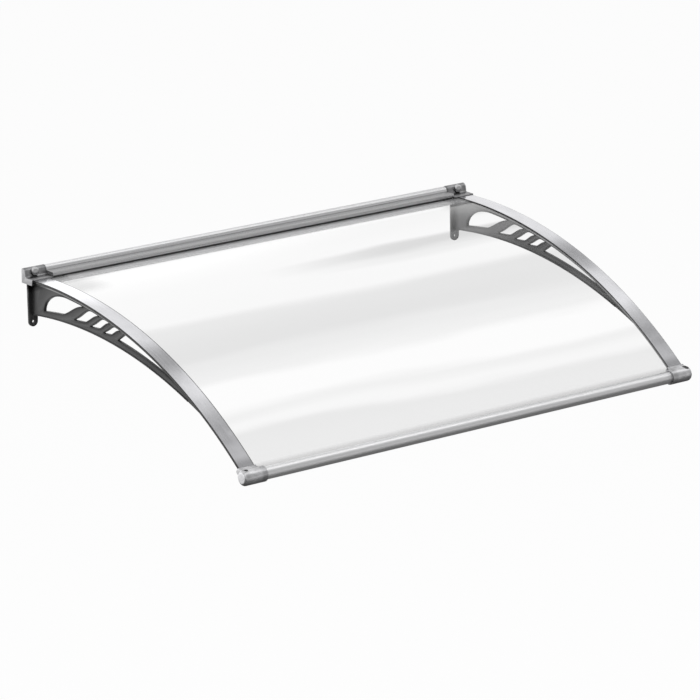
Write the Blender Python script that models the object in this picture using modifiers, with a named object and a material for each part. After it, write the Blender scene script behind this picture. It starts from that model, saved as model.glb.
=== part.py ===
"""Wall-mounted door canopy with an arched clear sheet, a wall rail, a round front bar and two cast brackets.

Metres, +Z up. X runs along the wall, the wall is the plane Y = 0 and the canopy reaches out towards -Y.
The origin is on the wall plane, at mid-width, at the height of the crown of the sheet's middle surface.
Profiles are drawn in side view, where a point is (reach from the wall, height).
"""

import math

import bmesh
import bpy

# Overall sizes
WIDTH = 1.500
DEPTH = 0.950
CLEARANCE = 0.0003

# Arched sheet
SHEET_THICKNESS = 0.004
ARCH_RADIUS = 1.3217
CROWN_REACH = 0.072
SHEET_EDGE_INSET = 0.007
ARC_STEP_DEGREES = 1.0

# Wall rail extrusion
RAIL_DEPTH = 0.044
RAIL_TOP = 0.0292
RAIL_BOTTOM = 0.015
RAIL_WALL = 0.0025
RAIL_SLOT_DEPTH = 0.014
RAIL_CROWN_BACK = 0.002
RAIL_CROWN_DEPTH = 0.012
RAIL_LEDGE_DROP = 0.0135
RAIL_CHAMBER_REACH = 0.0105
RAIL_CHAMBER_DROP = 0.0055
RAIL_SEAL_HEIGHT = 0.0046
LOWER_SEAL_DEPTH = 0.004

# Rail end caps
CAP_LENGTH = 0.069
CAP_OVERHANG = 0.002
CAP_RISE = 0.0006
CAP_BOTTOM = 0.009
CAP_LIP = 0.0025
CAP_FILLET = 0.005
CAP_PLUG = 0.012

# Domed bolt in each rail end cap
BOLT_RADIUS = 0.0112
BOLT_RIM = 0.0035
BOLT_DOME = 0.0070
BOLT_SHANK_RADIUS = 0.005
BOLT_SHANK_LENGTH = 0.008
BOLT_REACH = 0.0125
BOLT_HEIGHT = 0.0200
BOLT_TILT_DEGREES = 6.0
WASHER_RADIUS = 0.0119
WASHER_BORE = 0.0073
WASHER_THICKNESS = 0.0012

# Front bar and its end caps
BAR_RADIUS = 0.0165
BAR_WALL = 0.0024
BAR_SLOT_REACH = 0.003
BAR_IN_CAP = 0.019
FRONT_CAP_WALL = 0.0035
FRONT_CAP_ROUND = 0.009
SADDLE_REACH = 0.028
SADDLE_RISE = 0.0072
SADDLE_DROP = 0.0096
SADDLE_INBOARD = 0.012
SADDLE_OUTBOARD = 0.004
CAP_SCREW_INSET = 0.0125
CAP_SCREW_ANGLE_DEGREES = 57.0
CAP_SCREW_RADIUS = 0.0052
CAP_SCREW_HEAD = 0.0022
CAP_SCREW_SUNK = 0.0010
CAP_SCREW_SHANK = 0.0018
CAP_SCREW_LENGTH = 0.006

# Seals
SEAL_THICKNESS = 0.0018
ARM_SEAL_THICKNESS = 0.0012

# Stainless cover strips
STRIP_WIDTH = 0.048
STRIP_THICKNESS = 0.0018
STRIP_UNDER_LIP = 0.010

# Cast brackets
ARM_INSET = 0.031
FLANGE_WIDTH = 0.034
FLANGE_THICKNESS = 0.005
WEB_THICKNESS = 0.005
RIM_THICKNESS = 0.008
RIM_WIDTH = 0.004
PLATE_WIDTH = 0.032
PLATE_THICKNESS = 0.006
LUG_WIDTH = 0.027
LUG_DROP = 0.131
LUG_HOLE_RADIUS = 0.004
LOWER_EDGE_RADIUS = 1.400
LOWER_EDGE_REACH = 0.175
LOWER_EDGE_HEIGHT = -0.0895
LOWER_BAND_CUSP = 0.0165
LOWER_BAND_CORNER = 0.0205
UPPER_BAND = 0.011
LOWER_RIM_END = 0.676
EDGE_STEP = 0.025
NOSE_DEPTH = 0.004
TIP_RADIUS = 0.0010

# Windows in the bracket's web, as reaches from the wall
FIRST_WINDOW_START = 0.060
FIRST_WINDOW_CROWN = 0.165
STRUT_REAR_FEET = (0.132, 0.230, 0.293, 0.343)
STRUT_REAR_HEADS = (0.240, 0.305, 0.350, 0.394)
STRUT_FRONT_FEET = (0.185, 0.256, 0.313, 0.382)
STRUT_FRONT_HEADS = (0.272, 0.330, 0.377, 0.414)

# Levels and places that follow from the sizes above
GAP = CLEARANCE
HALF_WIDTH = WIDTH / 2
CAP_INNER = HALF_WIDTH - CAP_LENGTH
ARM_X = HALF_WIDTH - ARM_INSET
SHEET_HALF_WIDTH = HALF_WIDTH - SHEET_EDGE_INSET
FRONT_CAP_RADIUS = BAR_RADIUS + GAP + FRONT_CAP_WALL
BAR_REACH = DEPTH - FRONT_CAP_RADIUS
BAR_ANGLE = math.asin((BAR_REACH - CROWN_REACH) / ARCH_RADIUS)
SHEET_OUTER = ARCH_RADIUS + SHEET_THICKNESS / 2
SHEET_INNER = ARCH_RADIUS - SHEET_THICKNESS / 2
STRIP_INNER = SHEET_OUTER + GAP
STRIP_OUTER = STRIP_INNER + STRIP_THICKNESS
ARM_SEAL_OUTER = SHEET_INNER - GAP
ARM_SEAL_INNER = ARM_SEAL_OUTER - ARM_SEAL_THICKNESS
FLANGE_OUTER = ARM_SEAL_INNER - GAP
FLANGE_INNER = FLANGE_OUTER - FLANGE_THICKNESS
CAP_FRONT = RAIL_DEPTH + CAP_OVERHANG
CAP_TOP = RAIL_TOP + CAP_RISE
SHEET_REAR = RAIL_DEPTH - RAIL_SLOT_DEPTH + GAP
STRIP_REAR = CAP_FRONT - STRIP_UNDER_LIP + GAP
WASHER_HANG = WASHER_BORE - BOLT_SHANK_RADIUS - GAP
SEAL_REAR = SHEET_REAR
SLOT_HALF = SHEET_THICKNESS / 2 + SEAL_THICKNESS + 2 * GAP
BRACKET_TOP = -CAP_BOTTOM - GAP
BAR_HALF = CAP_INNER + BAR_IN_CAP
CAP_SCREW_SEAT = FRONT_CAP_RADIUS - CAP_SCREW_SUNK - CAP_SCREW_HEAD - GAP


def clear_scene():
    for obj in list(bpy.data.objects):
        bpy.data.objects.remove(obj, do_unlink=True)


def new_collection(name):
    collection = bpy.data.collections.new(name)
    bpy.context.scene.collection.children.link(collection)
    return collection


clear_scene()
PARTS = new_collection("door_canopy")
CUTTERS = new_collection("cutters")
CUTTERS.hide_render = True


def material(name, colour, roughness, metallic=0.0, alpha=1.0, transmission=0.0):
    made = bpy.data.materials.new(name)
    made.use_nodes = True
    shader = made.node_tree.nodes["Principled BSDF"]
    shader.inputs["Base Color"].default_value = (*colour, 1.0)
    shader.inputs["Roughness"].default_value = roughness
    shader.inputs["Metallic"].default_value = metallic
    shader.inputs["Alpha"].default_value = alpha
    shader.inputs["Transmission Weight"].default_value = transmission
    return made


SATIN_ALUMINIUM = material("satin_aluminium", (0.62, 0.62, 0.63), 0.35, 1.0)
CAST_ALUMINIUM = material("cast_aluminium", (0.20, 0.20, 0.21), 0.45, 0.6)
STAINLESS = material("brushed_stainless", (0.66, 0.66, 0.66), 0.28, 1.0)
BLACK_RUBBER = material("black_rubber", (0.02, 0.02, 0.02), 0.7)
CLEAR_SHEET = material("clear_polycarbonate", (0.96, 0.97, 0.97), 0.06, 0.0, 0.35, 0.9)
CAP_METAL = material("cast_end_cap", (0.42, 0.42, 0.43), 0.4, 0.8)
BOLT_STEEL = material("bolt_steel", (0.60, 0.60, 0.60), 0.25, 1.0)
SCREW_BLACK = material("black_screw", (0.015, 0.015, 0.015), 0.45, 0.5)


# Side-view geometry of the arch

def arch_point(radius, angle):
    """A point of the arch: radius from its centre, angle forward from the crown."""
    reach = CROWN_REACH + radius * math.sin(angle)
    height = radius * math.cos(angle) - ARCH_RADIUS
    return reach, height


def angle_at(radius, reach):
    return math.asin((reach - CROWN_REACH) / radius)


def height_at(radius, reach):
    return math.sqrt(radius ** 2 - (reach - CROWN_REACH) ** 2) - ARCH_RADIUS


def angle_before_bar(distance):
    """The angle at this distance behind the bar's axis, measured along the sheet."""
    return BAR_ANGLE - distance / ARCH_RADIUS


def arc_angles(start, end):
    """Angles from start to end, with the same steps for each layer of the arch."""
    step = math.radians(ARC_STEP_DEGREES)
    first = math.floor(start / step) + 1
    last = math.ceil(end / step) - 1
    inner = [index * step for index in range(first, last + 1)]
    inner = [angle for angle in inner if angle - start > step / 10 and end - angle > step / 10]
    return [start, *inner, end]


def arc_band(inner_radius, outer_radius, start, end):
    """The outline of a curved strip between two radii, seen from the side."""
    angles = arc_angles(start, end)
    outer = [arch_point(outer_radius, angle) for angle in angles]
    inner = [arch_point(inner_radius, angle) for angle in reversed(angles)]
    return outer + inner


def bar_frame_point(along, normal):
    """A point near the bar: along the sheet, up and back from the bar's axis, and normal to the sheet."""
    height = height_at(ARCH_RADIUS, BAR_REACH)
    reach = BAR_REACH - along * math.cos(BAR_ANGLE) + normal * math.sin(BAR_ANGLE)
    return reach, height + along * math.sin(BAR_ANGLE) + normal * math.cos(BAR_ANGLE)


# Turning outlines into solids

def finish_object(obj, name, collection):
    obj.name = name
    for old in list(obj.users_collection):
        old.objects.unlink(obj)
    collection.objects.link(obj)
    if collection is CUTTERS:
        obj.hide_render = True
        obj.display_type = "WIRE"
    return obj


def mesh_from_curve(curve_object):
    """The curve object as a mesh object with its caps welded to its sides."""
    graph = bpy.context.evaluated_depsgraph_get()
    mesh = bpy.data.meshes.new_from_object(curve_object.evaluated_get(graph))
    made = bmesh.new()
    made.from_mesh(mesh)
    bmesh.ops.remove_doubles(made, verts=made.verts, dist=0.000002)
    made.to_mesh(mesh)
    made.free()
    mesh.materials.clear()
    solid = bpy.data.objects.new(curve_object.name, mesh)
    solid.matrix_world = curve_object.matrix_world
    bpy.data.objects.remove(curve_object, do_unlink=True)
    return solid


def extrude_outlines(name, outlines, half_thickness, location, rotation, collection):
    """A flat outline, with any holes, extruded both ways from its plane."""
    curve = bpy.data.curves.new(name, "CURVE")
    curve.dimensions = "2D"
    curve.fill_mode = "BOTH"
    curve.extrude = half_thickness
    for outline in outlines:
        spline = curve.splines.new("POLY")
        spline.points.add(len(outline) - 1)
        for point, (across, up) in zip(spline.points, outline):
            point.co = (across, up, 0.0, 1.0)
        spline.use_cyclic_u = True
    obj = bpy.data.objects.new(name, curve)
    obj.location = location
    obj.rotation_euler = rotation
    bpy.context.scene.collection.objects.link(obj)
    bpy.context.view_layer.update()
    return finish_object(mesh_from_curve(obj), name, collection)


def side_solid(name, outlines, x_low, x_high, collection):
    """Outlines in side view extruded along the wall from x_low to x_high."""
    low, high = sorted((x_low, x_high))
    location = ((low + high) / 2, 0.0, 0.0)
    turn = (math.pi / 2, 0.0, -math.pi / 2)
    return extrude_outlines(name, outlines, (high - low) / 2, location, turn, collection)


def front_solid(name, outlines, reach_low, reach_high, x_centre, collection):
    """Outlines in front view, as (across, height), extruded from the wall outwards."""
    location = (x_centre, -(reach_low + reach_high) / 2, 0.0)
    turn = (math.pi / 2, 0.0, 0.0)
    half = (reach_high - reach_low) / 2
    return extrude_outlines(name, outlines, half, location, turn, collection)


def turned_solid(name, profile, steps, location, rotation, collection):
    """A profile of (radius, height) turned about its own axis, from the top down."""
    mesh = bpy.data.meshes.new(name)
    outline = [(radius, 0.0, height) for radius, height in profile]
    edges = [(index, index + 1) for index in range(len(outline) - 1)]
    mesh.from_pydata(outline, edges, [])
    obj = bpy.data.objects.new(name, mesh)
    obj.location = location
    obj.rotation_euler = rotation
    bpy.context.scene.collection.objects.link(obj)
    screw = obj.modifiers.new("turn", "SCREW")
    screw.steps = steps
    screw.render_steps = steps
    screw.use_merge_vertices = True
    screw.merge_threshold = 0.00001
    bpy.context.view_layer.update()
    graph = bpy.context.evaluated_depsgraph_get()
    turned = bpy.data.meshes.new_from_object(obj.evaluated_get(graph))
    solid = bpy.data.objects.new(name, turned)
    solid.matrix_world = obj.matrix_world
    bpy.data.objects.remove(obj, do_unlink=True)
    return finish_object(solid, name, collection)


def combine(target, tool, operation):
    """Joins the tool to the target, or cuts it from it."""
    step = target.modifiers.new(operation.lower(), "BOOLEAN")
    step.operation = operation
    step.solver = "EXACT"
    step.object = tool


def settle(obj):
    """Replaces the object's mesh by what its modifiers make of it, with near-equal points merged."""
    graph = bpy.context.evaluated_depsgraph_get()
    mesh = bpy.data.meshes.new_from_object(obj.evaluated_get(graph))
    made = bmesh.new()
    made.from_mesh(mesh)
    bmesh.ops.remove_doubles(made, verts=made.verts, dist=0.000005)
    bmesh.ops.dissolve_degenerate(made, edges=made.edges, dist=0.000002)
    bmesh.ops.triangulate(made, faces=made.faces)
    made.to_mesh(mesh)
    made.free()
    obj.modifiers.clear()
    obj.data = mesh


def dress(obj, look, smooth_degrees=0.0):
    obj.data.materials.clear()
    obj.data.materials.append(look)
    if smooth_degrees > 0.0:
        obj.data.shade_smooth()
        obj.data.set_sharp_from_angle(angle=math.radians(smooth_degrees))


def circle_points(centre, radius, start, end, count):
    """Points on a circle from one angle to another, in side view."""
    points = []
    for index in range(count + 1):
        angle = start + (end - start) * index / count
        across = centre[0] + radius * math.cos(angle)
        points.append((across, centre[1] + radius * math.sin(angle)))
    return points


# Clear sheet

def sheet():
    start = angle_at(ARCH_RADIUS, SHEET_REAR)
    end = angle_before_bar(BAR_SLOT_REACH + GAP)
    outline = arc_band(SHEET_INNER, SHEET_OUTER, start, end)
    half = SHEET_HALF_WIDTH
    solid = side_solid("canopy_sheet", [outline], -half, half, PARTS)
    dress(solid, CLEAR_SHEET, 30)


# Wall rail with a round back, a ledge, a slot for the sheet and an open chamber

def crown_points(top, low, depth, last_degrees):
    """A quarter of an ellipse, from its top down its front."""
    points = []
    for index in range(11):
        angle = math.radians(last_degrees * index / 10)
        reach = RAIL_CROWN_BACK + depth * math.sin(angle)
        points.append((reach, low + (top - low) * math.cos(angle)))
    return points


def rail_outline():
    rear = RAIL_DEPTH - RAIL_SLOT_DEPTH
    slot_top = RAIL_SEAL_HEIGHT + GAP
    front = RAIL_DEPTH
    slot_low = height_at(SHEET_INNER - SEAL_THICKNESS - 2 * GAP, rear)
    lip = rear + LOWER_SEAL_DEPTH + GAP
    upper_rear = height_at(SHEET_OUTER + GAP, rear) + RAIL_SEAL_HEIGHT
    upper_front = height_at(SHEET_OUTER + GAP, front) + slot_top
    ledge = RAIL_TOP - RAIL_LEDGE_DROP
    outline = [(0.0, -RAIL_BOTTOM), (0.0, RAIL_TOP - 0.004), (0.0006, RAIL_TOP - 0.0012)]
    outline += crown_points(RAIL_TOP, ledge + 0.0008, RAIL_CROWN_DEPTH, 88)
    outline += [
        (RAIL_CROWN_BACK + RAIL_CROWN_DEPTH + 0.0008, ledge),
        (front - 0.0015, ledge - 0.0004),
        (front - 0.0004, ledge - 0.0009),
        (front, ledge - 0.0020),
        (front, upper_front),
        (rear, upper_rear + GAP),
        (rear, slot_low),
        (lip, height_at(SHEET_INNER - SEAL_THICKNESS - 2 * GAP, lip)),
        (lip, height_at(SHEET_INNER - GAP, lip)),
        (front, height_at(SHEET_INNER - GAP, front)),
        (front, -RAIL_BOTTOM + 0.003),
        (front - 0.003, -RAIL_BOTTOM),
    ]
    return outline


def rail_chamber(shrink):
    """The open space inside the rail, made smaller all round by shrink."""
    low = shrink + max(RAIL_WALL - RAIL_BOTTOM, RAIL_WALL - CAP_BOTTOM)
    high = RAIL_TOP - RAIL_CHAMBER_DROP - shrink
    near = RAIL_WALL + shrink
    far = RAIL_CHAMBER_REACH - shrink
    corner = 0.002
    return [
        (near + corner, low),
        (far - corner, low),
        (far, low + corner),
        (far, high - 0.004),
        (far - 0.004, high),
        (near + corner, high),
        (near, high - corner),
        (near, low + corner),
    ]


def wall_rail():
    outlines = [rail_outline(), rail_chamber(0.0)]
    end = CAP_INNER - GAP / 2
    solid = side_solid("wall_rail", outlines, -end, end, PARTS)
    dress(solid, SATIN_ALUMINIUM, 30)


def rail_seals():
    """Rubber above the sheet, and a thinner strip below it, in the rail's slot."""
    start = angle_at(ARCH_RADIUS, SEAL_REAR)
    end = angle_at(ARCH_RADIUS, RAIL_DEPTH)
    end_low = angle_at(ARCH_RADIUS, RAIL_DEPTH - RAIL_SLOT_DEPTH + LOWER_SEAL_DEPTH)
    half = CAP_INNER - GAP
    upper = arc_band(STRIP_INNER, STRIP_INNER + RAIL_SEAL_HEIGHT - GAP, start, end)
    solid = side_solid("rail_upper_seal", [upper], -half, half, PARTS)
    dress(solid, BLACK_RUBBER, 30)
    top = SHEET_INNER - GAP
    lower = arc_band(top - SEAL_THICKNESS, top, start, end_low)
    solid = side_solid("rail_lower_seal", [lower], -half, half, PARTS)
    dress(solid, BLACK_RUBBER, 30)


# Rail end caps, with a lip over the cover strip

def cap_outline():
    lip_top = height_at(STRIP_OUTER, CAP_FRONT) + CAP_LIP
    depth = RAIL_CROWN_DEPTH + CAP_RISE
    face = RAIL_CROWN_BACK + depth + 0.001
    outline = [(0.0, -CAP_BOTTOM), (0.0, CAP_TOP - 0.004), (0.0006, CAP_TOP - 0.0012)]
    outline += crown_points(CAP_TOP, RAIL_TOP - RAIL_LEDGE_DROP, depth, 84)
    for index in range(6):
        angle = math.radians(90 * index / 5)
        reach = face + CAP_FILLET * (1 - math.cos(angle))
        outline.append((reach, lip_top + 0.0004 + CAP_FILLET * (1 - math.sin(angle))))
    outline += [
        (CAP_FRONT - 0.0015, lip_top),
        (CAP_FRONT, lip_top - 0.0008),
        (CAP_FRONT, -CAP_BOTTOM + 0.002),
        (CAP_FRONT - 0.002, -CAP_BOTTOM),
    ]
    return outline


def bolt_axis_point(distance, hang):
    """A point this far out from the face under the head, and this far below the bolt's axis."""
    tilt = math.radians(BOLT_TILT_DEGREES)
    reach = BOLT_REACH + distance * math.cos(tilt) + hang * math.sin(tilt)
    return reach, BOLT_HEIGHT + distance * math.sin(tilt) - hang * math.cos(tilt)


def along_bolt(name, profile, steps, distance, hang, side, collection):
    """A turned solid along the bolt's axis, with its profile's zero this far out."""
    reach, height = bolt_axis_point(distance, hang)
    turn = (math.radians(90 - BOLT_TILT_DEGREES), 0.0, 0.0)
    return turned_solid(name, profile, steps, (side * ARM_X, -reach, height), turn, collection)


def rail_end_cap(side, suffix):
    name = "rail_end_cap_" + suffix
    inner = CAP_INNER + GAP / 2
    solid = side_solid(name, [cap_outline()], side * inner, side * HALF_WIDTH, PARTS)
    plug = rail_chamber(GAP)
    tool = side_solid(
        name + "_plug", [plug], side * (inner - CAP_PLUG), side * (inner + 0.002), CUTTERS
    )
    combine(solid, tool, "UNION")
    # Slot for the sheet and, on top of it, the cover strip
    start = angle_at(ARCH_RADIUS, SHEET_REAR - GAP)
    end = angle_at(ARCH_RADIUS, CAP_FRONT + 0.003)
    slot = arc_band(SHEET_INNER - GAP, SHEET_OUTER + GAP, start, end)
    reach = SHEET_HALF_WIDTH + GAP
    tool = side_solid(name + "_slot", [slot], side * (inner - 0.001), side * reach, CUTTERS)
    combine(solid, tool, "DIFFERENCE")
    start = angle_at(ARCH_RADIUS, STRIP_REAR - GAP)
    slot = arc_band(SHEET_OUTER - 0.001, STRIP_OUTER + GAP, start, end)
    low = ARM_X - STRIP_WIDTH / 2 - GAP
    high = ARM_X + STRIP_WIDTH / 2 + GAP
    tool = side_solid(name + "_strip_slot", [slot], side * low, side * high, CUTTERS)
    combine(solid, tool, "DIFFERENCE")
    # Round seat for the washer, which hangs on the bolt's shank, and the bolt's hole
    seat = [(0.0, 0.012), (WASHER_RADIUS + GAP, 0.012), (WASHER_RADIUS + GAP, 0.0), (0.0, 0.0)]
    tool = along_bolt(name + "_seat", seat, 36, 0.0, WASHER_HANG, side, CUTTERS)
    combine(solid, tool, "DIFFERENCE")
    hole = [
        (0.0, 0.001),
        (BOLT_SHANK_RADIUS + GAP, 0.001),
        (BOLT_SHANK_RADIUS + GAP, -BOLT_SHANK_LENGTH - GAP),
        (0.0, -BOLT_SHANK_LENGTH - GAP),
    ]
    tool = along_bolt(name + "_hole", hole, 36, 0.0, 0.0, side, CUTTERS)
    combine(solid, tool, "DIFFERENCE")
    settle(solid)
    dress(solid, CAP_METAL, 30)


def cap_bolt(side, suffix):
    """A high domed head with its shank in the cap."""
    head = [(0.0, BOLT_RIM + BOLT_DOME)]
    for index in range(1, 8):
        angle = math.radians(90 - 90 * index / 8)
        head.append((BOLT_RADIUS * math.cos(angle), BOLT_RIM + BOLT_DOME * math.sin(angle)))
    head += [
        (BOLT_RADIUS, BOLT_RIM),
        (BOLT_RADIUS, 0.0),
        (BOLT_SHANK_RADIUS, 0.0),
        (BOLT_SHANK_RADIUS, -BOLT_SHANK_LENGTH - WASHER_THICKNESS),
        (0.0, -BOLT_SHANK_LENGTH - WASHER_THICKNESS),
    ]
    distance = WASHER_THICKNESS + 2 * GAP
    solid = along_bolt("cap_bolt_" + suffix, head, 36, distance, 0.0, side, PARTS)
    dress(solid, BOLT_STEEL, 35)


def cap_washer(side, suffix):
    ring = [
        (WASHER_BORE, WASHER_THICKNESS),
        (WASHER_RADIUS, WASHER_THICKNESS),
        (WASHER_RADIUS, 0.0),
        (WASHER_BORE, 0.0),
        (WASHER_BORE, WASHER_THICKNESS),
    ]
    solid = along_bolt("cap_washer_" + suffix, ring, 36, GAP, WASHER_HANG, side, PARTS)
    dress(solid, BLACK_RUBBER, 35)


# Cast bracket

def lower_edge(reach):
    """Height of the bracket's lower edge, which ends as a shallow nose under the flange."""
    drop = math.sqrt(LOWER_EDGE_RADIUS ** 2 - (reach - LOWER_EDGE_REACH) ** 2)
    arc = LOWER_EDGE_HEIGHT - LOWER_EDGE_RADIUS + drop
    return min(arc, height_at(FLANGE_INNER, reach) - NOSE_DEPTH)


def window_floor(reach, band):
    return lower_edge(reach) + band


def window_roof(reach):
    return height_at(FLANGE_INNER, reach) - UPPER_BAND


def ease(share):
    return share * share * (3 - 2 * share)


def share_at_opening(foot, head, opening, band):
    """How far up an S-curve lies this far above the floor it starts from."""
    height = window_roof((foot + head) / 2) - window_floor((foot + head) / 2, band)
    share = 0.0
    while ease(share) * height < opening:
        share += 0.002
    return share


def s_curve(foot, head, band, first, last, count):
    """Points from the floor at foot to the roof at head, level with both where it meets them."""
    points = []
    for index in range(count + 1):
        share = first + (last - first) * index / count
        reach = foot + (head - foot) * share
        low = window_floor(reach, band)
        points.append((reach, low + (window_roof(reach) - low) * ease(share)))
    return points


def round_tip(start, end, bulge, count):
    """Points between the two ends of a blunt tip, which bulges to one side."""
    points = []
    middle = ((start[0] + end[0]) / 2, (start[1] + end[1]) / 2)
    half = (start[0] - middle[0], start[1] - middle[1])
    for index in range(1, count):
        angle = math.pi * index / count
        across = middle[0] + half[0] * math.cos(angle) + bulge[0] * math.sin(angle)
        points.append((across, middle[1] + half[1] * math.cos(angle) + bulge[1] * math.sin(angle)))
    return points


def floor_run(start, end, start_band, end_band, count):
    points = []
    for index in range(count + 1):
        share = index / count
        reach = start + (end - start) * share
        points.append((reach, window_floor(reach, start_band + (end_band - start_band) * share)))
    return points


def rear_strut_side(index, count):
    """The rear side of a strut, up to the blunt tip at its head."""
    foot = STRUT_REAR_FEET[index]
    head = STRUT_REAR_HEADS[index]
    last = 1 - share_at_opening(foot, head, 2 * TIP_RADIUS, LOWER_BAND_CORNER)
    return s_curve(foot, head, LOWER_BAND_CORNER, 0.0, last, count)


def first_window():
    """The D-shaped window beside the wall plate."""
    base = window_floor(FIRST_WINDOW_START, LOWER_BAND_CUSP)
    span = FIRST_WINDOW_CROWN - FIRST_WINDOW_START
    outline = floor_run(FIRST_WINDOW_START, STRUT_REAR_FEET[0], LOWER_BAND_CUSP, LOWER_BAND_CORNER, 4)
    outline += rear_strut_side(0, 12)[1:]
    tip = outline[-1]
    outline += round_tip(tip, (tip[0], window_roof(tip[0])), (TIP_RADIUS * 2, 0.0), 3)
    for step in range(5):
        reach = tip[0] + (FIRST_WINDOW_CROWN - tip[0]) * step / 4
        outline.append((reach, window_roof(reach)))
    for step in range(1, 14):
        angle = math.pi / 2 * step / 14
        reach = FIRST_WINDOW_CROWN - span * math.sin(angle)
        outline.append((reach, base + (window_roof(reach) - base) * math.cos(angle)))
    return outline


def slanted_window(index):
    """The window between strut number index and the next one."""
    foot = STRUT_FRONT_FEET[index]
    head = STRUT_FRONT_HEADS[index]
    next_foot = STRUT_REAR_FEET[index + 1]
    first = share_at_opening(foot, head, 2 * TIP_RADIUS, LOWER_BAND_CUSP)
    rising = s_curve(foot, head, LOWER_BAND_CUSP, first, 1.0, 10)
    low_tip = (rising[0][0], window_floor(rising[0][0], LOWER_BAND_CUSP))
    outline = [low_tip]
    outline += floor_run(low_tip[0], next_foot, LOWER_BAND_CUSP, LOWER_BAND_CORNER, 2)[1:]
    outline += rear_strut_side(index + 1, 10)[1:]
    tip = outline[-1]
    top = (tip[0], window_roof(tip[0]))
    outline += round_tip(tip, top, (TIP_RADIUS * 2, 0.0), 3)
    outline.append(top)
    outline += list(reversed(rising))
    outline += round_tip(rising[0], low_tip, (-TIP_RADIUS * 2, 0.0), 3)
    return outline


def spear_window():
    """The long window that narrows to a point between the lower band and the flange."""
    foot = STRUT_FRONT_FEET[-1]
    head = STRUT_FRONT_HEADS[-1]
    end = foot
    while window_roof(end) - window_floor(end, LOWER_BAND_CORNER - 0.002) > 2 * TIP_RADIUS:
        end += 0.0005
    band = LOWER_BAND_CORNER - 0.002
    outline = floor_run(foot, end, band, band, 9)
    tip = outline[-1]
    top = (tip[0], window_roof(tip[0]))
    outline += round_tip(tip, top, (TIP_RADIUS * 2, 0.0), 3)
    for step in range(10):
        reach = top[0] + (head - top[0]) * step / 9
        outline.append((reach, window_roof(reach)))
    return outline


def grown(outline, distance):
    """The outline moved outwards by a distance, with round corners. It runs counter-clockwise."""
    count = len(outline)
    points = []
    for index in range(count):
        before = outline[index - 1]
        here = outline[index]
        after = outline[(index + 1) % count]
        turn_in = math.atan2(here[1] - before[1], here[0] - before[0])
        turn_out = math.atan2(after[1] - here[1], after[0] - here[0])
        bend = (turn_out - turn_in + math.pi) % (2 * math.pi) - math.pi
        start = turn_in - math.pi / 2
        if bend > math.radians(25):
            points += circle_points(here, distance, start, start + bend, 3)
        else:
            reach = distance / math.cos(bend / 2)
            middle = start + bend / 2
            points.append((here[0] + reach * math.cos(middle), here[1] + reach * math.sin(middle)))
    return points


def edge_reaches(start, end):
    """Reaches from start to end, with the same steps for all that follows the lower edge."""
    first = math.floor(start / EDGE_STEP) + 1
    last = math.ceil(end / EDGE_STEP) - 1
    inner = [index * EDGE_STEP for index in range(first, last + 1)]
    inner = [reach for reach in inner if reach - start > EDGE_STEP / 10 and end - reach > EDGE_STEP / 10]
    return [start, *inner, end]


def web_outline():
    """The web from the wall plate to the nose at the front, up into the flange."""
    front = BAR_REACH - (SADDLE_REACH + GAP) * math.cos(BAR_ANGLE) - NOSE_DEPTH
    rear = PLATE_THICKNESS / 2
    middle = (FLANGE_INNER + FLANGE_OUTER) / 2
    outline = [(reach, lower_edge(reach)) for reach in edge_reaches(rear, front)]
    start = angle_at(middle, CAP_FRONT + FLANGE_THICKNESS)
    end = angle_before_bar(SADDLE_REACH + GAP)
    outline += [arch_point(middle, angle) for angle in reversed(arc_angles(start, end))]
    outline.append((CAP_FRONT - 0.002, BRACKET_TOP))
    outline.append((rear, BRACKET_TOP))
    return outline


def lower_rim_outline():
    """A raised rim that follows the web's lower edge."""
    reaches = edge_reaches(PLATE_THICKNESS / 2, LOWER_RIM_END)
    under = [(reach, lower_edge(reach)) for reach in reaches]
    above = [(reach, lower_edge(reach) + RIM_WIDTH) for reach in reversed(reaches)]
    return under + above


def plate_outline():
    """The wall plate in front view, with a round lug at its foot."""
    half_top = PLATE_WIDTH / 2
    half_lug = LUG_WIDTH / 2
    centre = -LUG_DROP + half_lug
    corner = 0.003
    outline = [
        (half_top, BRACKET_TOP - corner),
        (half_top - corner, BRACKET_TOP),
        (corner - half_top, BRACKET_TOP),
        (-half_top, BRACKET_TOP - corner),
    ]
    outline += circle_points((0.0, centre), half_lug, math.pi, 2 * math.pi, 20)
    return outline


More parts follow.
